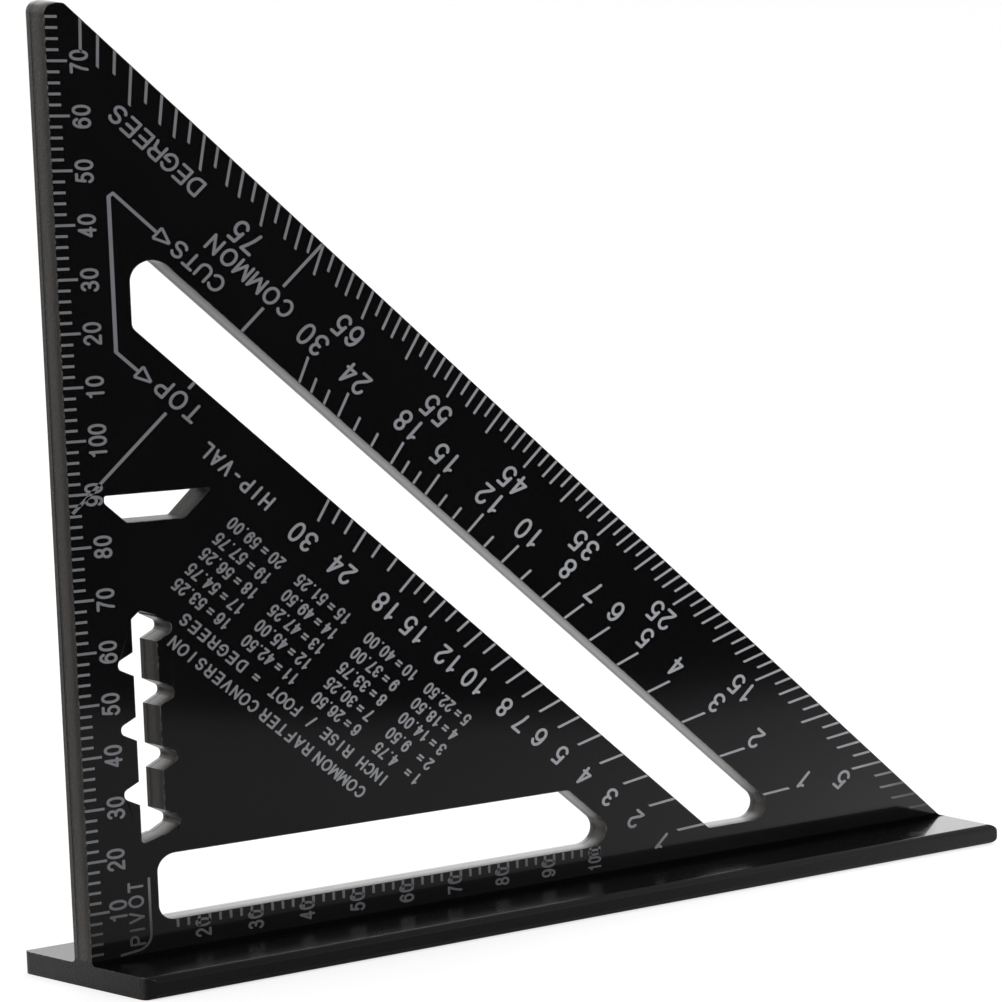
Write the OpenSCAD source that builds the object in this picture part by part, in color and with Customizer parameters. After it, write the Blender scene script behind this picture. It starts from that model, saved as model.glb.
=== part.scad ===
// Rafter speed square with a metric edge scale: a triangular blade standing on
// a T-shaped fence, with its engraved scales as separate thin marking nodes.
//
// Frame: the origin is the pivot corner, where the ruler edge of the blade meets
// the top of the fence, at the middle of the blade's thickness.
// +X runs along the fence to the toe, +Z runs up the ruler edge, and the marked
// face looks along -Y.

/* [Body] */
// Length of both legs of the triangle, from the pivot corner
leg_len = 184; // [180:1:190]
// Thickness of the blade
blade_t = 4.5; // [3:0.1:5]
// Height cut off the top tip of the triangle
tip_cut = 3.5; // [2.8:0.1:5]
// Radius of the top tip
tip_r = 2.3; // [0.5:0.1:2.4]

/* [Fence] */
// Full width of the fence, both ledges included
fence_w = 33.3; // [26:0.1:38]
// Thickness of the fence
fence_t = 4.4; // [3.8:0.1:6]
// Length of fence that stands out past the toe
fence_over = 2; // [1:0.5:5]
// Radius along the long edges of the fence
fence_r = 1.3; // [0.5:0.1:1.8]
// Radius at the toe end of the fence, in side view
fence_end_r = 1.6; // [0.5:0.1:1.8]
// Radius of the fence's two corners at the pivot end, seen from above
fence_corner_r = 2.5; // [0.5:0.1:4]
// Radius of the root where the blade meets the fence
root_r = 0.8; // [0.3:0.1:1.2]

/* [Diagonal slot] */
// Sum of height and distance from the ruler edge along the slot's outer side
slot_outer = 151.5; // [149:0.5:153]
// The same for the inner side of the slot
slot_inner = 133.4; // [131:0.1:136]
// Distance from the ruler edge to the slot's short side
slot_side = 12.8; // [12:0.1:15]
// Height of the slot's foot above the fence
slot_foot = 6.3; // [6:0.1:8]
// Radius of the slot's sharp corners
slot_r = 3.2; // [2:0.1:4]

/* [Fence window] */
// Distance from the ruler edge to the window
window_side = 12.7; // [12:0.1:15]
// Height of the window's lower side above the fence
window_low = 6.5; // [6:0.1:7.5]
// Height of the window's upper side above the fence
window_high = 19.5; // [18:0.1:20]
// Diagonal line that closes the window at the toe end, as a sum of X and Z
window_diag = 115; // [112:0.5:117]
// Radius of the window's corners
window_r = 3; // [2:0.1:3.5]

/* [Scribing slot] */
// Distance from the ruler edge to the near side of the scribing slot
scribe_left = 10.1; // [9.5:0.1:10.5]
// Width of the scribing slot between its straight sides
scribe_w = 4.5; // [4:0.1:5.2]
// Pitch of the scribing notches
scribe_pitch = 12.5; // [12:0.1:12.7]
// How far each notch is cut into the side
scribe_depth = 2.3; // [1.5:0.1:2.6]

/* [Scales] */
// Height of the markings above the face
mark_t = 0.05; // [0.03:0.01:0.1]
// Width of the scale ticks
tick_w = 0.5; // [0.3:0.05:0.7]
// Width of the layout lines
line_w = 0.6; // [0.3:0.05:0.8]
// Step between edge ticks
edge_step = 2; // [1:1:2]
// Length of a short edge tick
edge_short = 2.2; // [1.5:0.1:2.6]
// Length of a long edge tick, one every 10 mm
edge_long = 3.6; // [3:0.1:4]
// Depth of the degree ticks: every fifth degree
deg_long = 5.7; // [5:0.1:6.5]
// Depth of the degree ticks: two degrees either side of a fifth
deg_mid = 4.5; // [4:0.1:5]
// Depth of the degree ticks: one degree either side of a fifth
deg_short = 3.4; // [3:0.1:4]

/* [Hidden] */
$fn = 64;

INK = [0.62, 0.63, 0.66];
BLACK = [0.045, 0.045, 0.05];
fence_len = leg_len + fence_over;
tip_z = leg_len - tip_cut;
face_y = -blade_t / 2;
root2 = sqrt(2);  // change in X + Z for each 1 mm square to the long edge

// ---------------------------------------------------------------- outlines
function unit(v) = v / norm(v);

// The points that round one corner of an outline, or the corner itself where
// the radius is 0
function arc_points(before, corner, after, radius) =
    radius == 0 ? [corner] :
    let (back = unit(before - corner), ahead = unit(after - corner),
         half = acos(back * ahead) / 2,
         sweep = 180 - 2 * half,
         centre = corner + unit(back + ahead) * (radius / sin(half)),
         start = corner + back * (radius / tan(half)) - centre,
         end = corner + ahead * (radius / tan(half)) - centre,
         steps = max(3, ceil(sweep / (radius < 1 ? 22.5 : 7.5))),
         turn = (start[0] * end[1] - start[1] * end[0] > 0 ? 1 : -1) * sweep)
    [for (i = [0:steps])
        let (angle = turn * i / steps)
        centre + [start[0] * cos(angle) - start[1] * sin(angle),
                  start[0] * sin(angle) + start[1] * cos(angle)]];

// The points of a closed outline; each corner is [across, up, radius]
function rounded(corners) =
    let (count = len(corners),
         points = [for (corner = corners) [corner[0], corner[1]]])
    [for (i = [0:count - 1])
        each arc_points(points[(i + count - 1) % count], points[i],
                        points[(i + 1) % count], corners[i][2])];

module rounded_polygon(corners) {
    polygon(rounded(corners));
}

// Stand a drawing in the blade's plane, its marked side at y = front_y
module upright(front_y, thickness) {
    translate([0, front_y + thickness, 0])
        rotate([90, 0, 0])
            linear_extrude(thickness)
                children();
}

// ---------------------------------------------------------------- blade
module blade_outline() {
    rounded_polygon([
        [0, root_r, 0],
        [leg_len - root_r, root_r, 0],
        [leg_len - tip_z, tip_z, 1],
        [0, tip_z, tip_r]]);
}

module diagonal_slot() {
    rounded_polygon([
        [slot_side, slot_inner - slot_side, 2],
        [slot_inner - slot_foot, slot_foot, 1.2],
        [slot_outer - slot_foot, slot_foot, slot_r],
        [slot_side, slot_outer - slot_side, slot_r + 0.8]]);
}

module fence_window() {
    rounded_polygon([
        [window_side, window_low, window_r],
        [window_diag - window_low, window_low, window_r + 0.4],
        [window_diag - window_high, window_high, 1.6],
        [window_side, window_high, window_r + 0.4]]);
}

// The small five-sided hole beside the 90 mm mark
module birdsmouth_hole() {
    rounded_polygon([
        [10.2, 84, 0.5],
        [20.8, 84, 0.5],
        [26, 89.4, 0.35],
        [6.3, 89.4, 0.4],
        [6.3, 88, 0.5]]);
}

scribe_low = 22;
scribe_top = 67;
scribe_end_r = 0.6;
near_notch_z = 57;       // topmost notch on the side near the ruler edge
far_notch_z = 63.2;      // topmost notch on the other side
notch_lap = 0.4;         // overlap of a notch with the slot
notch_extra = 0.45;      // added to the depth of the notch's outline
notch_tip_half = 0.75;   // half height of the notch's sharp outline at its tip
notch_tip_r = 1.1;

// One rounded notch cut into the side at x, towards +X (dir 1) or -X (dir -1);
// mouth_half is half its height where it opens into the slot
module notch(x, z, dir, mouth_half) {
    mouth_x = x - dir * notch_lap;
    tip_x = x + dir * (scribe_depth + notch_extra);
    rounded_polygon([
        [mouth_x, z + mouth_half, 0],
        [mouth_x, z - mouth_half, 0],
        [tip_x, z - notch_tip_half, notch_tip_r],
        [tip_x, z + notch_tip_half, notch_tip_r]]);
}

module scribing_slot() {
    near_x = scribe_left;
    far_x = scribe_left + scribe_w;
    union() {
        rounded_polygon([
            [near_x, scribe_low, scribe_end_r],
            [far_x, scribe_low + 1.5, 0],
            [far_x, scribe_top - 1.1, 0],
            [near_x + 1.6, scribe_top + 0.1, scribe_end_r],
            [near_x, scribe_top - 1.4, scribe_end_r]]);
        for (i = [0:2]) notch(near_x, near_notch_z - i * scribe_pitch, -1, 2.5);
        for (i = [0:3]) notch(far_x, far_notch_z - i * scribe_pitch, 1, 2.6);
    }
}

module blade() {
    color(BLACK)
        upright(face_y, blade_t)
            difference() {
                blade_outline();
                diagonal_slot();
                fence_window();
                birdsmouth_hole();
                scribing_slot();
            }
}

// ---------------------------------------------------------------- fence
margin = 1;  // how far the trimming shapes reach past the fence

// Cross-section of the fence: rounded long edges, and the stub the blade stands
// on with its root radii
module fence_section() {
    half_w = fence_w / 2;
    half_t = blade_t / 2;
    root_arc = [for (i = [0:5])
        let (angle = 15 * i)
        [half_t + root_r * (1 - sin(angle)), root_r * (1 - cos(angle))]];
    polygon(concat(
        rounded([[-half_w, 0, fence_r], [-half_w, -fence_t, fence_r],
                 [half_w, -fence_t, fence_r], [half_w, 0, fence_r]]),
        root_arc,
        [[half_t, root_r], [-half_t, root_r]],
        [for (i = [5:-1:0]) [-root_arc[i][0], root_arc[i][1]]]));
}

// Side view: the toe end is eased, and the stub ends in the line of the blade's
// long edge
module fence_side_view() {
    rounded_polygon([
        [-margin, -fence_t, 0],
        [fence_len, -fence_t, fence_end_r],
        [fence_len, 0, fence_end_r],
        [leg_len, 0, 0],
        [leg_len - root_r - margin, root_r + margin, 0],
        [-margin, root_r + margin, 0]]);
}

// Plan view: the corners at the pivot end are rounded
module fence_plan_view() {
    rounded_polygon([
        [0, -fence_w / 2, fence_corner_r],
        [fence_len + margin, -fence_w / 2, 0],
        [fence_len + margin, fence_w / 2, 0],
        [0, fence_w / 2, fence_corner_r]]);
}

module fence() {
    color(BLACK)
        intersection() {
            rotate([90, 0, 90]) linear_extrude(fence_len) fence_section();
            translate([0, fence_w, 0])
                rotate([90, 0, 0])
                    linear_extrude(2 * fence_w)
                        fence_side_view();
            translate([0, 0, -fence_t - margin])
                linear_extrude(fence_t + root_r + 2 * margin)
                    fence_plan_view();
        }
}

// ---------------------------------------------------------------- markings
module marks() {
    color(INK) upright(face_y - mark_t, mark_t) children();
}

// A straight line between two points
module bar(start, end, width) {
    side = width / 2 * unit([start[1] - end[1], end[0] - start[0]]);
    polygon([start + side, start - side, end - side, end + side]);
}

// A tick that aims at the pivot at the given angle. It runs between two lines
// parallel to the long edge, each given as its sum of X and Z, and its ends are
// cut parallel to them.
module pivot_tick(angle, from_sum, to_sum) {
    shift = tick_w / 2 / cos(angle - 45) / root2;
    aim = [cos(angle), sin(angle)] / (cos(angle) + sin(angle));
    side = [shift, -shift];
    polygon([aim * from_sum + side, aim * to_sum + side,
             aim * to_sum - side, aim * from_sum - side]);
}

// Ruler scale on the vertical edge
module edge_scale() {
    start_x = 0.08;
    tip_gap = 2.4;
    marks()
        for (z = [edge_step:edge_step:tip_z - tip_gap])
            bar([start_x, z], [z % 10 == 0 ? edge_long : edge_short, z], tick_w);
}

// Ruler scale under the fence window
module slot_scale() {
    first_x = window_side + 3.3;
    last_x = window_diag - window_low - 6;
    long_reach = 2.2;
    short_reach = 1.7;
    marks()
        for (x = [first_x:edge_step:last_x])
            bar([x, window_low - 0.1],
                [x, window_low - (x % 10 == 0 ? long_reach : short_reach)], tick_w);
}

tick_gap = 0.2;  // gap between an edge and its pivot ticks, in X + Z

function degree_depth(angle) =
    let (past = angle % 5)
    past == 0 ? deg_long : (past == 1 || past == 4) ? deg_short : deg_mid;

// One-degree scale along the long edge
module degree_scale() {
    marks()
        for (angle = [1:88])
            pivot_tick(angle, leg_len - tick_gap,
                       leg_len - degree_depth(angle) * root2);
}

// Rises on both rafter scales, and those with a short tick on each
rises = [each [1:18], each [20:2:30]];
short_hip = [11, 13, 14, 16, 17, 20, 22, 26, 28];
short_common = [9, each short_hip];

function is_in(value, list) = len([for (item = list) if (item == value) item]) > 0;

// Ticks for each rise over one run, on the slot side at edge_sum, reaching
// away from the pivot (dir 1) or towards it (dir -1)
module rafter_scale(run, edge_sum, dir, short_rises, short_depth, long_depth) {
    marks()
        for (rise = rises) {
            depth = is_in(rise, short_rises) ? short_depth : long_depth;
            pivot_tick(atan2(rise, run), edge_sum + dir * tick_gap,
                       edge_sum + dir * depth * root2);
        }
}

// Rise in 12 of run, on the slot's outer side
module common_rafter_scale() {
    rafter_scale(run = 12, edge_sum = slot_outer, dir = 1,
                 short_rises = short_common, short_depth = 2.9, long_depth = 4.9);
}

// Rise in 17 of run, on the slot's inner side
module hip_valley_scale() {
    rafter_scale(run = 17, edge_sum = slot_inner, dir = -1,
                 short_rises = short_hip, short_depth = 3.2, long_depth = 4.7);
}

// A hollow arrowhead with its base centre at base, aiming down the diagonal
module arrowhead(base) {
    width = 0.5;
    tip = base + [1, -1] / root2 * 3;
    side = [1, 1] / root2 * 1.25;
    union() {
        bar(base - side, base + side, width);
        bar(base - side, tip, width);
        bar(base + side, tip, width);
    }
}

// The 45 degree line up from the ruler edge, in four pieces
module diagonal_line() {
    start_z = 86;
    inner_x = (slot_inner - start_z) / 2;   // where it meets the slot
    outer_x = (slot_outer - start_z) / 2;
    end_x = (leg_len - start_z) / 2;        // where it meets the long edge
    for (span = [[0.6, 18.2], [inner_x - 1.2, inner_x - 0.1],
                 [outer_x + 0.1, 37.1], [41, end_x - 0.2]])
        bar([span[0], span[0] + start_z], [span[1], span[1] + start_z], line_w);
}

// An upright line beside the ruler edge with an arrow down from each end
module bracket() {
    bar([9.7, 116.2], [9.7, 145.2], line_w + 0.1);
    bar([9.55, 145.0], [10.6, 145.8], line_w);
    bar([10.4, 145.8], [17.9, 138.3], line_w);
    bar([9.55, 116.35], [13.5, 112.4], line_w);
    arrowhead([18.1, 138.1]);
    arrowhead([13.6, 112.3]);
}

// The hook beside the pivot: a stem, a quarter bend and a foot
module hook() {
    width = 0.45;
    bend = [8.2, 4.3];
    bend_r = 2.8;
    stem_x = bend[0] + bend_r;
    bar([stem_x, 15.4], [stem_x, 4.2], width);
    for (i = [0:5])
        let (start = -15 * i, end = -15 * (i + 1))
        bar(bend + bend_r * [cos(start), sin(start)],
            bend + bend_r * [cos(end), sin(end)], width);
    bar([8.4, 1.52], [5.2, 1.1], width);
}

module layout_lines() {
    marks() {
        diagonal_line();
        bracket();
        hook();
    }
}

blade();
fence();
edge_scale();
slot_scale();
degree_scale();
common_rafter_scale();
hip_valley_scale();
layout_lines();
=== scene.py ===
import math

import bpy
import bmesh
from mathutils import Matrix, Vector, geometry


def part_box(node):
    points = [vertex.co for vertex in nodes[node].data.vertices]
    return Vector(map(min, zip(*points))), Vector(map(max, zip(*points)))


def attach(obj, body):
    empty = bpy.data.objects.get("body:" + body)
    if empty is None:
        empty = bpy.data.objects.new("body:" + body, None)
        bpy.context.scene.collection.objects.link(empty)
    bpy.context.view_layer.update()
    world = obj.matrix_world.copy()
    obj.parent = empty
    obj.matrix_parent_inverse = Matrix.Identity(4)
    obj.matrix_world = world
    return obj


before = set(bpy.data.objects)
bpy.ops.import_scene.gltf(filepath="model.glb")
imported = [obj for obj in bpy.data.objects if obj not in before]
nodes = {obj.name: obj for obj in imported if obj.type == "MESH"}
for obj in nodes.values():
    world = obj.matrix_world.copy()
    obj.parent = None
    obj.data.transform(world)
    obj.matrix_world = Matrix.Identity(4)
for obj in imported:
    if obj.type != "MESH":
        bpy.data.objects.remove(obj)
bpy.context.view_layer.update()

MM = 0.001
blade_lo, blade_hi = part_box("blade")
fence_lo, fence_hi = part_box("fence")
FACE = blade_lo.y / MM          # the marked face of the blade, in mm
FLOOR = fence_lo.z              # what the fence stands on
FILM = (blade_lo.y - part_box("edge_scale")[0].y) / MM    # how proud a marking stands


# ------------------------------------------------------------------ lettering
# A plain single-stroke alphabet. Each glyph is a width and its strokes, in a
# box one unit wide and one unit high; a stroke is a list of points.
def arc(cx, cy, rx, ry, a0, a1, n=None, p=2.0):
    n = n or max(4, int(abs(a1 - a0) / 15))
    out = []
    for i in range(n + 1):
        a = math.radians(a0 + (a1 - a0) * i / n)
        c, s = math.cos(a), math.sin(a)
        out.append((cx + rx * math.copysign(abs(c) ** (2 / p), c),
                    cy + ry * math.copysign(abs(s) ** (2 / p), s)))
    return out


def ring(cx, cy, rx, ry, p=2.0):
    return [arc(cx, cy, rx, ry, -6, 186, 14, p), arc(cx, cy, rx, ry, 174, 366, 14, p)]


GLYPHS = {
    "0": (0.60, ring(0.5, 0.5, 0.5, 0.5, 2.25)),
    "1": (0.60, [[(0.16, 0.78), (0.36, 0.82), (0.50, 0.90), (0.58, 1.0)], [(0.58, 1.0), (0.58, 0.0)]]),
    "2": (0.60, [arc(0.5, 0.70, 0.48, 0.30, 170, -28) + [(0.62, 0.38), (0.22, 0.17), (0.04, 0.0)],
                 [(0.04, 0.0), (1.0, 0.0)]]),
    "3": (0.60, [arc(0.48, 0.755, 0.43, 0.245, 160, -80) + [(0.34, 0.53)],
                 [(0.34, 0.53)] + arc(0.47, 0.265, 0.53, 0.265, 82, -162)]),
    "4": (0.60, [[(0.74, 0.0), (0.74, 1.0)], [(0.74, 1.0), (0.0, 0.27)], [(0.0, 0.27), (1.0, 0.27)]]),
    "5": (0.60, [[(0.92, 1.0), (0.20, 1.0)], [(0.20, 1.0), (0.08, 0.47)],
                 [(0.08, 0.47)] + arc(0.47, 0.325, 0.53, 0.325, 128, -155)]),
    "6": (0.60, ring(0.5, 0.325, 0.5, 0.325) + [arc(0.55, 0.52, 0.55, 0.48, 38, 178) + [(0.0, 0.34)]]),
    "7": (0.60, [[(0.0, 1.0), (1.0, 1.0)], [(1.0, 1.0), (0.70, 0.66), (0.47, 0.33), (0.34, 0.0)]]),
    "8": (0.60, ring(0.5, 0.765, 0.42, 0.235) + ring(0.5, 0.265, 0.5, 0.265)),
    "9": (0.60, ring(0.5, 0.675, 0.5, 0.325) + [arc(0.45, 0.48, 0.55, 0.48, -142, -2) + [(1.0, 0.66)]]),
    "A": (0.74, [[(0.0, 0.0), (0.5, 1.0)], [(0.5, 1.0), (1.0, 0.0)], [(0.17, 0.34), (0.83, 0.34)]]),
    "C": (0.76, [arc(0.53, 0.5, 0.53, 0.5, 40, 320)]),
    "D": (0.72, [[(0.0, 0.0), (0.0, 1.0)], [(0.0, 1.0), (0.42, 1.0)] + arc(0.42, 0.5, 0.58, 0.5, 84, -84)
                 + [(0.42, 0.0), (0.0, 0.0)]]),
    "E": (0.66, [[(0.0, 0.0), (0.0, 1.0)], [(0.0, 1.0), (1.0, 1.0)], [(0.0, 0.53), (0.92, 0.53)],
                 [(0.0, 0.0), (1.0, 0.0)]]),
    "F": (0.62, [[(0.0, 0.0), (0.0, 1.0)], [(0.0, 1.0), (1.0, 1.0)], [(0.0, 0.51), (0.86, 0.51)]]),
    "G": (0.78, [arc(0.52, 0.5, 0.52, 0.5, 42, 335) + [(1.0, 0.42)], [(1.0, 0.46), (0.56, 0.46)]]),
    "H": (0.72, [[(0.0, 0.0), (0.0, 1.0)], [(1.0, 0.0), (1.0, 1.0)], [(0.0, 0.53), (1.0, 0.53)]]),
    "I": (0.18, [[(0.5, 0.0), (0.5, 1.0)]]),
    "L": (0.58, [[(0.0, 1.0), (0.0, 0.0)], [(0.0, 0.0), (1.0, 0.0)]]),
    "M": (0.84, [[(0.0, 0.0), (0.0, 1.0)], [(0.0, 1.0), (0.5, 0.12)], [(0.5, 0.12), (1.0, 1.0)],
                 [(1.0, 1.0), (1.0, 0.0)]]),
    "N": (0.72, [[(0.0, 0.0), (0.0, 1.0)], [(0.0, 1.0), (1.0, 0.0)], [(1.0, 0.0), (1.0, 1.0)]]),
    "O": (0.80, ring(0.5, 0.5, 0.5, 0.5, 2.1)),
    "P": (0.66, [[(0.0, 0.0), (0.0, 1.0)], [(0.0, 1.0), (0.55, 1.0)] + arc(0.55, 0.735, 0.45, 0.265, 80, -80)
                 + [(0.55, 0.47), (0.0, 0.47)]]),
    "R": (0.70, [[(0.0, 0.0), (0.0, 1.0)], [(0.0, 1.0), (0.55, 1.0)] + arc(0.55, 0.745, 0.43, 0.255, 80, -80)
                 + [(0.55, 0.49), (0.0, 0.49)], [(0.55, 0.49), (0.88, 0.36), (0.92, 0.12), (1.0, 0.0)]]),
    "S": (0.68, [arc(0.5, 0.75, 0.44, 0.25, 22, 250) + [(0.55, 0.50)] + arc(0.5, 0.255, 0.5, 0.255, 62, -162)]),
    "T": (0.66, [[(0.0, 1.0), (1.0, 1.0)], [(0.5, 1.0), (0.5, 0.0)]]),
    "U": (0.72, [[(0.0, 1.0), (0.0, 0.36)] + arc(0.5, 0.34, 0.5, 0.34, 188, 352) + [(1.0, 0.36), (1.0, 1.0)]]),
    "V": (0.72, [[(0.0, 1.0), (0.5, 0.0)], [(0.5, 0.0), (1.0, 1.0)]]),
    "-": (0.46, [[(0.05, 0.44), (0.95, 0.44)]]),
    ".": (0.20, [[(0.5, 0.0), (0.5, 0.015)]]),
    "=": (0.58, [[(0.0, 0.66), (1.0, 0.66)], [(0.0, 0.34), (1.0, 0.34)]]),
    "/": (0.46, [[(0.0, -0.04), (1.0, 1.04)]]),
}


def stroke_outline(pts, h):
    """The outline of one stroke of half width h with round ends."""
    v = [Vector(p) for p in pts]
    n = len(v)
    left, right = [], []
    for i in range(n):
        a = (v[i] - v[i - 1]).normalized() if i else (v[1] - v[0]).normalized()
        b = (v[i + 1] - v[i]).normalized() if i < n - 1 else a
        t = (a + b).normalized()
        m = Vector((-t.y, t.x))
        k = h / max(0.5, m.dot(Vector((-a.y, a.x))))
        left.append(v[i] + m * k)
        right.append(v[i] - m * k)
    def cap(c, frm):
        d = frm - c
        out = []
        for k in range(1, 6):
            a = -math.pi * k / 6
            out.append(c + Vector((d.x * math.cos(a) - d.y * math.sin(a), d.x * math.sin(a) + d.y * math.cos(a))))
        return out
    return left + cap(v[-1], left[-1]) + right[::-1] + cap(v[0], right[0])


_glyph_cache = {}


def glyph_mesh(ch, cap, width, stroke):
    """Triangles and border edges of the union of one glyph's strokes, centred, in mm."""
    key = (ch, round(cap, 3), round(width, 3), round(stroke, 3))
    if key in _glyph_cache:
        return _glyph_cache[key]
    w, h = max(0.0, width - stroke), cap - stroke
    verts, faces = [], []
    for pts in GLYPHS[ch][1]:
        p = [((x - 0.5) * w, (y - 0.5) * h) for x, y in pts]
        out = stroke_outline(p, stroke / 2)
        faces.append(list(range(len(verts), len(verts) + len(out)))[::-1])
        verts += out
    co, _, tris, _, _, src = geometry.delaunay_2d_cdt(verts, [], faces, 1, 1e-4)
    tris = [list(t) for t, s in zip(tris, src) if len(s)]
    for t in tris:
        a, b, c = (co[i] for i in t)
        if (b - a).cross(c - a) < 0:
            t.reverse()
    count = {}
    for t in tris:
        for i in range(3):
            e = (t[i], t[(i + 1) % 3])
            count[e] = True
    border = [e for e in count if (e[1], e[0]) not in count]
    _glyph_cache[key] = ([(c.x, c.y) for c in co], tris, border)
    return _glyph_cache[key]


class Lettering:
    """Letters as thin raised films on the marked face, gathered into one mesh."""

    def __init__(self):
        self.verts, self.faces = [], []

    def glyph(self, ch, x, z, right, cap, stroke, widen=1.0):
        """One glyph centred at x, z mm on the face. right is the reading direction."""
        if ch == " ":
            return
        rx, rz = right
        ux, uz = -rz, rx
        width = max(stroke, GLYPHS[ch][0] * cap * widen)
        co, tris, border = glyph_mesh(ch, cap, width, stroke)
        base = len(self.verts)
        used = sorted({i for t in tris for i in t})
        at = {i: k for k, i in enumerate(used)}
        n = len(used)
        for y in (FACE - FILM, FACE):
            for i in used:
                gx, gy = co[i]
                self.verts.append(((x + gx * rx + gy * ux) * MM, y * MM, (z + gx * rz + gy * uz) * MM))
        for a, b, c in tris:
            a, b, c = base + at[a], base + at[b], base + at[c]
            self.faces.append((a, b, c))
            self.faces.append((c + n, b + n, a + n))
        for a, b in border:
            a, b = base + at[a], base + at[b]
            self.faces.append((b, a, a + n, b + n))

    def number(self, text, x, z, right, cap, advance, stroke, widen=1.0):
        """A word or number centred at x, z, its glyphs a fixed advance apart."""
        k0 = -(len(text) - 1) / 2
        for i, ch in enumerate(text):
            s = (k0 + i) * advance
            self.glyph(ch, x + s * right[0], z + s * right[1], right, cap, stroke, widen)

    def build(self, name):
        mesh = bpy.data.meshes.new(name)
        mesh.from_pydata(self.verts, [], self.faces)
        mesh.validate()
        bm = bmesh.new()
        bm.from_mesh(mesh)
        bmesh.ops.recalc_face_normals(bm, faces=bm.faces)
        bm.to_mesh(mesh)
        bm.free()
        ob = bpy.data.objects.new(name, mesh)
        bpy.context.scene.collection.objects.link(ob)
        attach(ob, "root")
        return ob


Q = math.sqrt(0.5)
UP = (0.0, 1.0)          # reads up the ruler edge
DIAG = (-Q, Q)           # reads up the long edge
letter_pieces = []


def diag_point(u, v):
    """A place given along (u) and away from the pivot across (v) the long edge's direction."""
    return (u + v) * Q, (v - u) * Q


def word(text, u0, u1, v, cap, stroke, widen=1.0, into=None, skip_width=False):
    """A word between the centres u0 of its first and u1 of its last letter."""
    out = into or Lettering()
    n = len(text) - 1
    for i, ch in enumerate(text):
        u = u0 + (u1 - u0) * (i / n if n else 0)
        x, z = diag_point(u, v)
        out.glyph(ch, x, z, DIAG, cap, stroke, widen)
    return out


# numerals on the ruler edge: 10 to 100, then 10 to 70 again
t = Lettering()
for k in range(1, 18):
    value = 10 * k if k <= 10 else 10 * (k - 10)
    # the 90 stands nearer the edge, clear of the small hole
    t.number(str(value), 5.2 if k < 3 else 4.5 if k == 9 else 5.65, 10 * k - 0.15, UP, 3.3, 2.35 if value < 100 else 2.2, 0.52, 1.0)
letter_pieces.append(t.build("edge_numerals"))

# numerals under the fence window
t = Lettering()
for k in range(2, 10):
    t.number(str(10 * k), 10 * k + 0.7, 3.9 if k == 2 else 3.6, UP, 3.0, 2.05, 0.46, 0.95)
t.number("100", 100.9, 3.7, UP, 2.9, 1.62, 0.42, 0.82)
letter_pieces.append(t.build("slot_numerals"))

# numerals of the degree scale
t = Lettering()
for text, x, z in (("75", 34.3, 136.7), ("65", 53.2, 117.8), ("55", 70.2, 100.9), ("45", 85.7, 85.3),
                   ("35", 100.5, 70.6), ("25", 117.2, 54.0), ("15", 135.5, 35.8), ("5", 159.2, 12.2)):
    t.number(text, x, z, DIAG, 4.6, 3.4, 0.61, 0.98)
letter_pieces.append(t.build("degree_numerals"))

# numerals of the common rafter scale
t = Lettering()
for text, x, z in (("30", 46.2, 116.5), ("24", 54.2, 108.3), ("18", 64.6, 98.3), ("15", 71.8, 91.1),
                   ("12", 80.7, 82.1), ("10", 88.7, 74.3), ("8", 96.8, 66.1), ("7", 102.3, 60.7),
                   ("6", 107.1, 55.9), ("5", 113.5, 49.6), ("4", 120.4, 42.5), ("3", 129.5, 33.5),
                   ("2", 138.6, 24.3), ("1", 149.9, 13.5)):
    t.number(text, x, z, DIAG, 4.5, 3.3, 0.60, 0.98)
letter_pieces.append(t.build("common_rafter_numerals"))

# numerals of the hip and valley scale
t = Lettering()
for text, x, z in (("30", 42.8, 78.1), ("24", 50.1, 70.8), ("18", 58.7, 62.5), ("15", 64.2, 57.1),
                   ("12", 70.9, 50.3), ("10", 76.2, 45.0), ("8", 82.3, 38.9), ("7", 85.8, 35.2),
                   ("6", 89.6, 31.6), ("5", 94.0, 27.2), ("4", 99.2, 21.9), ("3", 104.6, 16.6),
                   ("2", 110.2, 10.9), ("1", 116.1, 5.2)):
    t.number(text, x, z, DIAG, 4.15, 3.1, 0.58, 0.98)
letter_pieces.append(t.build("hip_valley_numerals"))

# the names of the scales and of the two cuts
letter_pieces.append(word("DEGREES", -85.8, -104.7, 121.7, 3.6, 0.55, 1.10).build("name_degrees"))
letter_pieces.append(word("COMMON", -57.7, -75.7, 116.0, 3.6, 0.56, 1.04).build("name_common"))
letter_pieces.append(word("CUTS", -70.6, -79.8, 110.8, 3.4, 0.54, 1.14).build("name_cuts"))
letter_pieces.append(word("TOP", -57.1, -64.4, 89.8, 3.8, 0.56, 1.02).build("name_top"))
letter_pieces.append(word("HIP-VAL", -35.0, -50.4, 86.2, 3.2, 0.50, 0.92).build("name_hip_valley"))

# the name beside the pivot
t = Lettering()
for ch, z in zip("PIVOT", (3.5, 5.6, 8.0, 11.1, 14.0)):
    t.glyph(ch, 8.5, z, UP, 2.9, 0.46, 1.05)
letter_pieces.append(t.build("name_pivot"))

# the conversion table: its two title lines, then five rows of four columns
t = word("COMMON", 18.5, 7.3, 55.1, 2.5, 0.43, 0.98)
word("RAFTER", 4.3, -6.9, 55.1, 2.5, 0.43, 0.98, into=t)
word("CONVERSION", -9.9, -30.0, 55.1, 2.5, 0.43, 0.98, into=t)
word("INCH RISE / FOOT", 20.8, -8.6, 59.6, 2.5, 0.43, 0.95, into=t)
word("=", -13.3, -13.3, 59.6, 2.5, 0.43, 1.0, into=t)
word("DEGREES", -17.1, -31.4, 59.6, 2.5, 0.43, 1.02, into=t)
letter_pieces.append(t.build("table_titles"))

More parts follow.
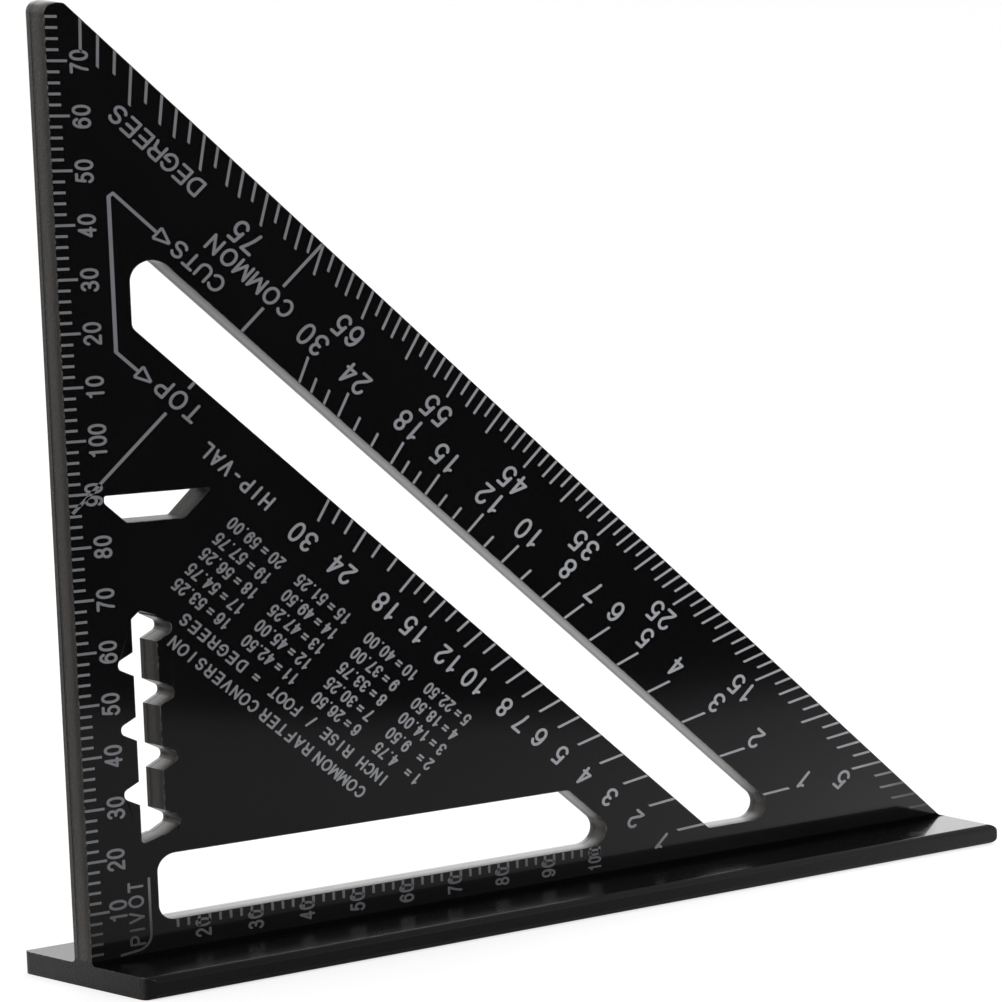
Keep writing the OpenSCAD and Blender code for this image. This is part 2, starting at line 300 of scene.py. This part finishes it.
# n inches of rise in a foot, as degrees to the nearest quarter; the table itself
# rounds 9 and 10 up to whole degrees
DEGREES_OF_RISE = ["%.2f" % (round(4 * math.degrees(math.atan2(n, 12))) / 4) for n in range(1, 21)]
DEGREES_OF_RISE[8:10] = ["37.00", "40.00"]
t = Lettering()
ROWS = (63.75, 67.5, 71.3, 75.05, 78.9)
for col, u_eq in enumerate((23.7, 7.1, -11.3, -28.85)):
    for row, v in enumerate(ROWS):
        n = 5 * col + row + 1
        cap, adv, s = 2.6, 1.65, 0.43
        x, z = diag_point(u_eq, v)
        t.glyph("=", x, z, DIAG, cap, s, 0.9)
        label = str(n)
        for i, ch in enumerate(reversed(label)):
            x, z = diag_point(u_eq + 2.3 + i * adv, v)
            t.glyph(ch, x, z, DIAG, cap, s, 0.92)
        # the value: whole degrees, a point, two decimals
        value = DEGREES_OF_RISE[n - 1]
        pos = u_eq - 2.3 - adv * (5 - len(value))
        for ch in value:
            step = adv if ch != "." else 1.05
            x, z = diag_point(pos - (0 if ch != "." else -0.28), v)
            t.glyph(ch, x, z, DIAG, cap, s, 0.92)
            pos -= step
letter_pieces.append(t.build("table_figures"))


# ------------------------------------------------------------------ materials
class Nodes:
    """Short hand for building a node tree."""

    def __init__(self, mat):
        mat.use_nodes = True
        self.nt = mat.node_tree
        self.nt.nodes.clear()
        self.x = 0

    def new(self, kind, **props):
        n = self.nt.nodes.new(kind)
        n.location = (self.x, 0)
        self.x += 40
        for k, v in props.items():
            setattr(n, k, v)
        return n

    def put(self, socket, value):
        if isinstance(value, bpy.types.NodeSocket):
            self.nt.links.new(value, socket)
        elif isinstance(value, (tuple, list)) and len(value) == 3 and socket.type == "RGBA":
            socket.default_value = (*value, 1.0)
        else:
            socket.default_value = value

    def math(self, op, a, b=0.0, c=0.0, clamp=False):
        n = self.new("ShaderNodeMath", operation=op, use_clamp=clamp)
        for s, v in zip(n.inputs, (a, b, c)):
            self.put(s, v)
        return n.outputs[0]

    def vec(self, op, a, b=(0.0, 0.0, 0.0), scale=None):
        n = self.new("ShaderNodeVectorMath", operation=op)
        self.put(n.inputs[0], a)
        self.put(n.inputs[1], b)
        if scale is not None:
            self.put(n.inputs["Scale"], scale)
        return n.outputs["Value"] if op in ("DOT_PRODUCT", "LENGTH", "DISTANCE") else n.outputs["Vector"]

    def split(self, v):
        n = self.new("ShaderNodeSeparateXYZ")
        self.put(n.inputs[0], v)
        return n.outputs

    def smooth(self, v, a, b, lo=0.0, hi=1.0):
        """lo where v is a or less, hi where it is b or more, smooth between. b may be below a."""
        n = self.new("ShaderNodeMapRange", interpolation_type="SMOOTHSTEP")
        if b < a:
            a, b, lo, hi = b, a, hi, lo
        for s, x in zip(n.inputs, (v, a, b, lo, hi)):
            self.put(s, x)
        return n.outputs[0]

    def line(self, v, a, b, lo=0.0, hi=1.0):
        n = self.new("ShaderNodeMapRange", interpolation_type="LINEAR", clamp=True)
        for s, x in zip(n.inputs, (v, a, b, lo, hi)):
            self.put(s, x)
        return n.outputs[0]

    def noise(self, p, scale, detail=3.0, rough=0.5, stretch=None, seed=None):
        if stretch is not None:
            p = self.vec("MULTIPLY", p, stretch)
        if seed is not None:
            p = self.vec("ADD", p, seed)
        n = self.new("ShaderNodeTexNoise", noise_dimensions="3D")
        self.put(n.inputs["Vector"], p)
        self.put(n.inputs["Scale"], scale)
        self.put(n.inputs["Detail"], detail)
        self.put(n.inputs["Roughness"], rough)
        return n.outputs["Fac"]

    def voronoi(self, p, scale, feature="F1"):
        n = self.new("ShaderNodeTexVoronoi", feature=feature)
        self.put(n.inputs["Vector"], p)
        self.put(n.inputs["Scale"], scale)
        return n.outputs["Distance"]

    def mix(self, f, a, b):
        n = self.new("ShaderNodeMix", data_type="RGBA", clamp_factor=True)
        self.put(n.inputs[0], f)
        self.put(n.inputs[6], a)
        self.put(n.inputs[7], b)
        return n.outputs[2]

    def mixf(self, f, a, b):
        n = self.new("ShaderNodeMix", data_type="FLOAT", clamp_factor=True)
        self.put(n.inputs[0], f)
        self.put(n.inputs[2], a)
        self.put(n.inputs[3], b)
        return n.outputs[0]

    def bump(self, height, distance, strength=1.0, normal=None):
        n = self.new("ShaderNodeBump")
        self.put(n.inputs["Strength"], strength)
        self.put(n.inputs["Distance"], distance)
        self.put(n.inputs["Height"], height)
        if normal is not None:
            self.put(n.inputs["Normal"], normal)
        return n.outputs["Normal"]

    def mm(self):
        """The place on the object, in mm."""
        return self.vec("SCALE", self.new("ShaderNodeTexCoord").outputs["Object"], scale=1000.0)

    def principled(self, **sockets):
        n = self.new("ShaderNodeBsdfPrincipled")
        for k, v in sockets.items():
            self.put(n.inputs[k], v)
        return n.outputs[0]

    def out(self, shader):
        n = self.new("ShaderNodeOutputMaterial")
        self.nt.links.new(shader, n.inputs["Surface"])


def black_coat(name, fence):
    """Gloss black anodised aluminium: extrusion lines under the coat, faint haze,
    a rougher coat with bare flecks on the punched walls, and wear on the edges."""
    mat = bpy.data.materials.new(name)
    g = Nodes(mat)
    p = g.mm()
    px, py, pz = g.split(p)[:3]
    geo = g.new("ShaderNodeNewGeometry")
    nx, ny, nz = g.split(geo.outputs["True Normal"])[:3]
    if fence:
        # the sawn ends
        wall = g.smooth(g.math("ABSOLUTE", nx), 0.80, 0.97)
    else:
        wall = g.smooth(g.math("ABSOLUTE", ny), 0.50, 0.22)

    # where an edge is, and how worn it is there
    bev = g.new("ShaderNodeBevel", samples=4)
    g.put(bev.inputs["Radius"], 0.00035)
    bend = g.vec("DOT_PRODUCT", bev.outputs[0], geo.outputs["True Normal"])
    rim = g.smooth(bend, 0.995, 0.86)
    # blade and fence are one metal, so nothing wears where they meet
    away = g.smooth(g.math("ABSOLUTE", py), 3.5, 5.0) if fence else g.smooth(pz, 1.3, 2.0)
    rim = g.math("MULTIPLY", rim, away)
    chips = g.noise(p, 0.9, 5.0, 0.62)
    wear = g.math("MULTIPLY", rim, g.smooth(chips, 0.46, 0.66), clamp=True)

    haze = g.noise(p, 0.035, 4.0, 0.6)
    lines = g.noise(p, 1.0, 2.0, 0.5, stretch=(0.012, 5.5, 5.5))
    peel = g.noise(p, 1.7, 3.0, 0.5)
    grain = g.noise(p, 3.4, 5.0, 0.7)
    pits = g.voronoi(p, 2.3)
    fleck = g.smooth(g.noise(p, 4.6, 4.0, 0.75, seed=(7.3, 1.1, 4.2)), 0.53, 0.68)
    # a punched wall: a burnished land near the marked face, then torn metal
    if fence:
        land = 0.0
    else:
        land = g.math("MULTIPLY", g.smooth(py, -1.9, -0.4), g.smooth(py, 1.5, 0.2))

    coat = g.mix(haze, (0.0019, 0.0019, 0.0021), (0.0035, 0.0034, 0.0037))
    if fence:
        coat = g.mix(haze, (0.0011, 0.0011, 0.0012), (0.0021, 0.0021, 0.0022))
    torn = g.mix(grain, (0.004, 0.004, 0.004), (0.020, 0.019, 0.018) if fence else (0.034, 0.031, 0.028))
    colour = g.mix(wall, coat, torn)
    bare = g.mix(grain, (0.32, 0.295, 0.275), (0.66, 0.62, 0.585))
    metal_on_wall = g.math("MULTIPLY", wall,
                           g.math("ADD", g.math("MULTIPLY", fleck, 0.14 if fence else 0.20),
                                  g.math("MULTIPLY", land, 0.06)))
    gloss = 1.0
    if not fence:
        # the upward-facing sills of the openings are painted paler towards the back: a painted highlight of the light
        # from above
        sill_painted_light = g.math("MULTIPLY", g.smooth(nz, 0.6, 0.9), g.line(py, -1.9, 1.9))
        # the small hole gets no painted sill highlight, and its walls, the slant among them, are painted darker:
        # painted shade in the hole
        small_hole_shade = g.math("MULTIPLY", g.smooth(pz, 78.0, 82.0), g.smooth(pz, 108.0, 104.0))
        small_hole_shade = g.math("MULTIPLY", small_hole_shade, g.math("MULTIPLY", g.smooth(px, 2.0, 4.0), g.smooth(px, 34.0, 30.0)))
        outside_small_hole = g.math("SUBTRACT", 1.0, small_hole_shade)
        sill_painted_light = g.math("MULTIPLY", sill_painted_light, outside_small_hole)
        # the painted sill highlight laid over the colour
        colour = g.mix(g.math("MULTIPLY", sill_painted_light, 0.95), colour, g.mix(grain, (0.34, 0.33, 0.325), (0.66, 0.65, 0.635)))
        # a dark line across the far third of a punched wall, then paler metal beyond it
        far = g.smooth(py, 1.25, 1.45)
        metal_on_wall = g.math("MULTIPLY", metal_on_wall, g.line(py, -2.1, 1.2, 0.55, 1.15))
        # fewer bare flecks in the small hole: painted shade
        metal_on_wall = g.math("MULTIPLY", metal_on_wall, g.math("SUBTRACT", 1.0, g.math("MULTIPLY", small_hole_shade, 0.45)))
        metal_on_wall = g.math("ADD", metal_on_wall, g.math("MULTIPLY", g.math("MULTIPLY", far, wall), 0.08))
        far_dark_line = g.math("MULTIPLY", g.smooth(py, 1.0, 1.2), g.smooth(py, 1.5, 1.3))
        colour = g.mix(g.math("MULTIPLY", g.math("MULTIPLY", far_dark_line, wall), 0.8), colour, (0.003, 0.003, 0.003))
        far_dark_line = g.math("MULTIPLY", far_dark_line, g.smooth(nz, 0.3, 0.0))
        metal_on_wall = g.math("MULTIPLY", metal_on_wall, g.math("SUBTRACT", 1.0, g.math("MULTIPLY", far_dark_line, 0.7)))
        long_side = g.smooth(nx, -0.88, -0.74)
        gloss = g.math("SUBTRACT", g.mixf(long_side, 0.85, g.line(py, -2.2, -0.4, 0.66, 1.33)),
                       g.math("MULTIPLY", g.math("MULTIPLY", far_dark_line, long_side), g.line(haze, 0.35, 0.65, 0.75, 1.05)))
        gloss = g.math("SUBTRACT", gloss, g.math("MULTIPLY", far, 0.15))
        gloss = g.math("MULTIPLY", gloss, g.math("SUBTRACT", 1.0, g.math("MULTIPLY", small_hole_shade, 0.4)))
    metal = g.math("ADD", metal_on_wall, g.math("MULTIPLY", wear, 0.45), clamp=True)
    colour = g.mix(metal, colour, bare)

    low, high = (0.22, 0.29) if fence else (0.085, 0.135)
    rough_face = g.math("ADD", g.line(haze, 0.3, 0.7, low, high), g.math("MULTIPLY", peel, 0.03))
    rough_wall = g.line(grain, 0.3, 0.7, 0.30, 0.52)
    rough = g.mixf(g.math("MAXIMUM", wall, g.math("MULTIPLY", wear, 0.6)), rough_face, rough_wall)
    coat_weight = g.mixf(wall, 1.0, g.math("MULTIPLY", gloss, 0.75))
    spec = g.mixf(wall, 0.5, g.math("MULTIPLY", gloss, 0.5))
    shine = g.mixf(wall, 0.05, 0.28)
    if fence:
        shine = g.mixf(wall, g.smooth(px, 125.0, 168.0, 0.21, 0.085), 0.28)
        spec = g.mixf(wall, 0.2, 0.5)
        # the root radii hold no gloss
        root = g.math("MULTIPLY", g.smooth(g.math("ABSOLUTE", py), 3.5, 2.95), g.math("SUBTRACT", 1.0, wall))
        root = g.math("MULTIPLY", root, g.smooth(pz, -0.2, 0.02))
        coat_weight = g.math("MULTIPLY", coat_weight, g.math("SUBTRACT", 1.0, g.math("MULTIPLY", root, 0.9)))
        spec = g.math("MULTIPLY", spec, g.math("SUBTRACT", 1.0, g.math("MULTIPLY", root, 0.9)))
        # the long rounded edges of the fence are given a satin roughness and a base colour painted lighter towards
        # the toe: a painted sheen
        turn = g.math("ABSOLUTE", nz)
        satin_sheen_edges = g.math("MULTIPLY", g.smooth(turn, 0.06, 0.20), g.smooth(turn, 0.999, 0.97))
        satin_sheen_edges = g.math("MULTIPLY", satin_sheen_edges, g.smooth(g.math("ABSOLUTE", py), 4.0, 6.0))
        satin_sheen_edges = g.math("MULTIPLY", satin_sheen_edges, g.math("SUBTRACT", 1.0, wall))
        # painted sheen: darker at the pivot end, lighter at the toe
        edge_sheen_colour = g.mix(g.line(px, 0.0, 180.0), (0.011, 0.011, 0.0115), (0.026, 0.026, 0.027))
        colour = g.mix(satin_sheen_edges, colour, g.mix(g.math("MULTIPLY", grain, 0.5), edge_sheen_colour, (0.006, 0.006, 0.006)))
        rough = g.mixf(satin_sheen_edges, rough, 0.42)
        coat_weight = g.math("MULTIPLY", coat_weight, g.math("SUBTRACT", 1.0, g.math("MULTIPLY", satin_sheen_edges, 0.95)))

    b = g.bump(lines, 0.0000016, 0.5)
    b = g.bump(peel, 0.0000022, 0.5, b)
    rough_relief = g.math("MULTIPLY", wall, g.math("ADD", grain, g.math("MULTIPLY", pits, 0.6)))
    b = g.bump(rough_relief, 0.00006, 0.8, b)

    g.out(g.principled(**{
        "Base Color": colour, "Metallic": metal, "Roughness": rough, "IOR": 1.5, "Normal": b,
        "Coat Weight": coat_weight,
        "Specular IOR Level": spec, "Coat Roughness": shine,
        "Coat IOR": 1.5, "Coat Normal": b}))
    return mat


def marking_paint(name, strength=1.0):
    """Pale grey marking: slightly blotchy, matt, with pinholes."""
    mat = bpy.data.materials.new(name)
    g = Nodes(mat)
    p = g.mm()
    blotch = g.noise(p, 0.22, 4.0, 0.6)
    fine = g.noise(p, 5.5, 4.0, 0.7)
    holes = g.smooth(g.noise(p, 7.0, 3.0, 0.6, seed=(3.0, 9.0, 5.0)), 0.62, 0.72)
    c = g.mix(blotch, (0.27, 0.275, 0.30), (0.43, 0.435, 0.465))
    c = g.mix(g.math("MULTIPLY", fine, 0.35), c, (0.20, 0.20, 0.22))
    c = g.mix(g.math("MULTIPLY", holes, 0.5), c, (0.03, 0.03, 0.033))
    # the marks are painted darker towards the ruler edge, the top and the foot: painted light falloff across the
    # face, and painted shade near the fence and the pivot corner; they also fade towards the toe
    px, py, pz = g.split(p)[:3]
    along = g.math("MULTIPLY", g.math("SUBTRACT", px, pz), Q)
    marking_light_falloff = g.math("MULTIPLY", g.line(along, -55.0, 25.0, 0.43, 0.88), g.line(px, 2.0, 45.0, 0.84, 1.0))
    fence_foot_shade = g.math("MAXIMUM", g.smooth(pz, 2.0, 16.0, 0.30, 1.0), g.smooth(px, 100.0, 125.0))
    pivot_corner_shade = g.math("MAXIMUM", g.line(pz, 5.0, 85.0, 0.60, 1.0), g.smooth(px, 8.0, 14.0))
    marking_light_falloff = g.math("MULTIPLY", g.math("MULTIPLY", marking_light_falloff, fence_foot_shade), pivot_corner_shade)
    marking_light_falloff = g.math("MULTIPLY", marking_light_falloff, g.smooth(px, 162.0, 179.0, 1.0, 0.35))
    c = g.mix(g.math("MULTIPLY", marking_light_falloff, strength), (0.012, 0.012, 0.013), c)
    g.out(g.principled(**{
        "Base Color": c, "Metallic": 0.0, "Roughness": g.line(fine, 0.3, 0.7, 0.45, 0.7), "IOR": 1.45,
        "Normal": g.bump(fine, 0.00001, 0.6)}))
    return mat


blade_mat = black_coat("blade_metal", False)
fence_mat = black_coat("fence_metal", True)
mark_mat = marking_paint("marking")
fine_mat = marking_paint("marking_fine", 0.76)

MARKS = ("edge_scale", "slot_scale", "degree_scale", "common_rafter_scale", "hip_valley_scale", "layout_lines")


def paint(ob, mat):
    ob.data.materials.clear()
    ob.data.materials.append(mat)


paint(nodes["blade"], blade_mat)
paint(nodes["fence"], fence_mat)
for n in MARKS:
    paint(nodes[n], mark_mat)
for ob in letter_pieces:
    paint(ob, fine_mat if ob.name.startswith("table") else mark_mat)


# ------------------------------------------------------------------ edges
def soften(ob, width, angle, seam, segments=3):
    """Small broken edges by modifiers only; the CAD mesh's points stay as they are.
    The edges at the height seam, where blade and fence are one metal, stay closed."""
    me = ob.data
    spot = [(round(v.co.x * 1e6), round(v.co.y * 1e6), round(v.co.z * 1e6)) for v in me.vertices]
    facing = {}
    for poly in me.polygons:
        for a, b in poly.edge_keys:
            facing.setdefault(frozenset((spot[a], spot[b])), []).append(poly.normal.copy())
    limit = math.cos(math.radians(angle))
    level = round(seam * 1e6)
    weights = me.attributes.get("bevel_weight_edge") or me.attributes.new("bevel_weight_edge", "FLOAT", "EDGE")
    sharps = me.attributes.get("sharp_edge") or me.attributes.new("sharp_edge", "BOOLEAN", "EDGE")
    broken, creases = [], []
    for e in me.edges:
        a, b = (spot[i] for i in e.vertices)
        ns = facing.get(frozenset((a, b)), [])
        bent = any(m.dot(n) < limit for i, m in enumerate(ns) for n in ns[i + 1:])
        on_seam = abs(a[2] - level) < 3 and abs(b[2] - level) < 3
        broken.append(1.0 if bent and not on_seam else 0.0)
        creases.append(bool(bent and on_seam))
    weights.data.foreach_set("value", broken)
    sharps.data.foreach_set("value", creases)

    w = ob.modifiers.new("weld", "WELD")
    w.merge_threshold = 0.000002
    b = ob.modifiers.new("broken_edges", "BEVEL")
    b.width = width
    b.segments = segments
    b.limit_method = "WEIGHT"
    b.use_clamp_overlap = True
    b.harden_normals = False
    b.miter_outer = "MITER_SHARP"
    c = ob.modifiers.new("crisp_seam", "EDGE_SPLIT")
    c.split_angle = math.radians(60)
    c.use_edge_angle = True
    c.use_edge_sharp = True
    n = ob.modifiers.new("even_shading", "WEIGHTED_NORMAL")
    n.mode = "FACE_AREA"
    n.weight = 50
    n.keep_sharp = True


for name in ("blade", "fence"):
    me = nodes[name].data
    for poly in me.polygons:
        poly.use_smooth = True
soften(nodes["blade"], 0.00013, 35, blade_lo.z)
soften(nodes["fence"], 0.00015, 35, blade_lo.z)


# ------------------------------------------------------------------ stage
def stage_floor():
    mesh = bpy.data.meshes.new("studio_floor")
    n, r = 64, 14.0
    ring_ = [(r * math.cos(2 * math.pi * i / n) + 0.09, r * math.sin(2 * math.pi * i / n), FLOOR - 0.00002)
             for i in range(n)]
    mesh.from_pydata(ring_, [], [tuple(range(n))])
    ob = bpy.data.objects.new("studio_floor", mesh)
    bpy.context.scene.collection.objects.link(ob)
    mat = bpy.data.materials.new("studio_floor")
    g = Nodes(mat)
    mat.cycles.emission_sampling = "NONE"
    geo = g.new("ShaderNodeNewGeometry")
    pos = g.vec("SCALE", geo.outputs["Position"], scale=1000.0)
    x, y, _ = g.split(pos)[:3]
    slope = g.math("ABSOLUTE", g.split(geo.outputs["Incoming"])[2])
    diffuse = g.new("ShaderNodeBsdfDiffuse")
    paper = g.noise(pos, 0.02, 3.0, 0.5)
    ray = g.new("ShaderNodeLightPath")
    seen_by_lens = ray.outputs["Is Camera Ray"]
    sheet = g.mix(paper, (0.90, 0.90, 0.90), (0.93, 0.93, 0.93))
    g.put(diffuse.inputs["Color"], g.mix(seen_by_lens, sheet, (0.34, 0.34, 0.34)))
    # the sheet is lit from below too, which washes the shadows out
    under = g.new("ShaderNodeEmission")
    g.put(under.inputs["Strength"], g.math("MULTIPLY", seen_by_lens, 0.66))
    lit = g.new("ShaderNodeAddShader")
    g.nt.links.new(diffuse.outputs[0], lit.inputs[0])
    g.nt.links.new(under.outputs[0], lit.inputs[1])
    # what a mirror-like surface sees: a lit patch round the tool with dark
    # flags in front of it, as in a light tent
    edge = g.math("ADD", g.line(x, 119.0, 176.0, -265.0, -175.0), g.line(x, 176.0, 220.0, 0.0, 25.0))
    patch = g.smooth(g.math("SUBTRACT", y, edge), -35.0, 35.0)
    right = g.math("POWER", g.line(x, 40.0, 270.0, 0.0, 1.6), 2.0)
    near = g.math("EXPONENT", g.math("MULTIPLY", g.math("ADD", y, 20.0), 1.0 / 55.0))
    front = g.math("ADD", g.math("MULTIPLY", g.math("MULTIPLY", right, g.math("MINIMUM", near, 1.2)), 0.31), 0.12)
    front = g.math("MULTIPLY", front, patch)
    back = g.smooth(x, -60.0, 90.0, 0.045, 1.0)
    # and the same behind it for anyone looking low from behind
    dim = g.math("MULTIPLY", g.line(g.math("ABSOLUTE", g.math("SUBTRACT", x, 60.0)), 0.0, 240.0, 0.18, 0.42),
                 g.smooth(y, 330.0, 200.0, 0.10, 1.0))
    back = g.mixf(g.smooth(slope, 0.34, 0.50), g.math("MINIMUM", back, dim), back)
    seen = g.mixf(g.smooth(y, -10.0, 20.0), g.math("ADD", front, 0.006), back)
    glow = g.new("ShaderNodeEmission")
    g.put(glow.inputs["Strength"], seen)
    m = g.new("ShaderNodeMixShader")
    g.put(m.inputs[0], ray.outputs["Is Glossy Ray"])
    g.nt.links.new(lit.outputs[0], m.inputs[1])
    g.nt.links.new(glow.outputs[0], m.inputs[2])
    g.out(m.outputs[0])
    mesh.materials.append(mat)
    return ob


def studio_world():
    world = bpy.data.worlds.new("studio")
    bpy.context.scene.world = world
    g = Nodes(world)
    d = g.new("ShaderNodeTexCoord").outputs["Generated"]
    dx, dy, dz = g.split(d)[:3]
    lp = g.new("ShaderNodeLightPath")
    # mirror rays: white behind and above the tool, dark in front of it
    side = g.line(dx, 0.55, 0.65, 1.0, 1.4)
    side = g.math("MULTIPLY", side, g.smooth(dx, -0.75, -0.2, 0.15, 1.0))
    behind = g.math("MULTIPLY", g.smooth(dy, -0.15, 0.35), side)
    behind = g.math("MULTIPLY", behind, g.smooth(dz, 0.62, 0.32, 0.15, 1.0))
    horizon = g.math("MULTIPLY", g.smooth(dz, 0.21, 0.12, 0.02, 1.0), g.line(dx, 0.53, 0.65, 0.20, 0.50))
    behind = g.math("MAXIMUM", behind, horizon)
    above = g.smooth(dz, 0.75, 0.95, 0.0, 0.3)
    mirror = g.math("MAXIMUM", behind, above)
    soft = g.line(dz, -0.2, 1.0, 0.75, 1.05)
    level = g.mixf(lp.outputs["Is Glossy Ray"], soft, mirror)
    level = g.mixf(lp.outputs["Is Camera Ray"], level, 1.02)
    bg = g.new("ShaderNodeBackground")
    g.put(bg.inputs["Color"], (1.0, 1.0, 1.0))
    g.put(bg.inputs["Strength"], level)
    out = g.new("ShaderNodeOutputWorld")
    g.nt.links.new(bg.outputs[0], out.inputs["Surface"])


def softbox(name, at, aim, size, power):
    light = bpy.data.lights.new(name, "AREA")
    light.shape = "RECTANGLE"
    light.size, light.size_y = size
    light.energy = power
    ob = bpy.data.objects.new(name, light)
    bpy.context.scene.collection.objects.link(ob)
    ob.location = at
    ob.rotation_euler = (Vector(aim) - Vector(at)).to_track_quat("-Z", "Y").to_euler()
    ob.visible_glossy = False
    return ob


stage_floor()
studio_world()
softbox("softbox_high", (0.55, 0.35, 1.25), (0.09, 0.0, 0.05), (0.9, 0.9), 7.0)
softbox("softbox_left", (-0.95, -0.75, 0.85), (0.09, 0.0, 0.08), (0.7, 0.7), 5.0)

view = bpy.context.scene.view_settings
view.view_transform = "Standard"
view.look = "None"
view.exposure = 0.0
view.gamma = 1.0


# ------------------------------------------------------------------ camera
# A view camera with its lens shifted to the side: it stands in front of the
# ruler edge, slightly above the tip. The shift goes back to none when the
# camera is moved to look at the tool from somewhere else.
AT = Vector((-0.59914756, -0.87919773, 0.26848735))
LOOK = Vector((0.94127452, 0.27366378, -0.19776351))
ROLL = math.radians(6.319795)
FOCAL = 4531.02415                 # in picture widths of 1002
CENTRE = (3696.89845, 828.56614)   # where the lens axis meets the picture

cam = bpy.data.cameras.new("view_camera")
cam_ob = bpy.data.objects.new("view_camera", cam)
bpy.context.scene.collection.objects.link(cam_ob)
bpy.context.scene.camera = cam_ob
right = LOOK.cross(Vector((0, 0, 1))).normalized()
up = right.cross(LOOK)
r2 = right * math.cos(ROLL) + up * math.sin(ROLL)
u2 = up * math.cos(ROLL) - right * math.sin(ROLL)
turn = Matrix((r2, u2, -LOOK)).transposed()
cam_ob.rotation_mode = "QUATERNION"
cam_ob.rotation_quaternion = turn.to_quaternion()
cam_ob.location = AT
cam.sensor_fit = "HORIZONTAL"
cam.sensor_width = 36.0
cam.lens = FOCAL / 1002 * 36.0
cam.clip_start, cam.clip_end = 0.01, 60.0

station = bpy.data.objects.new("camera_station", None)
bpy.context.scene.collection.objects.link(station)
station.location = AT
for prop, value in (("shift_x", (501 - CENTRE[0]) / 1002), ("shift_y", (CENTRE[1] - 501) / 1002)):
    curve = cam.driver_add(prop)
    curve.driver.type = "AVERAGE"
    var = curve.driver.variables.new()
    var.name = "moved"
    var.type = "LOC_DIFF"
    var.targets[0].id = cam_ob
    var.targets[1].id = station
    for m in list(curve.modifiers):
        curve.modifiers.remove(m)
    for at, v in ((0.0, value), (0.02, 0.0), (100.0, 0.0)):
        k = curve.keyframe_points.insert(at, v)
        k.interpolation = "LINEAR"
    curve.extrapolation = "CONSTANT"

bpy.context.view_layer.update()
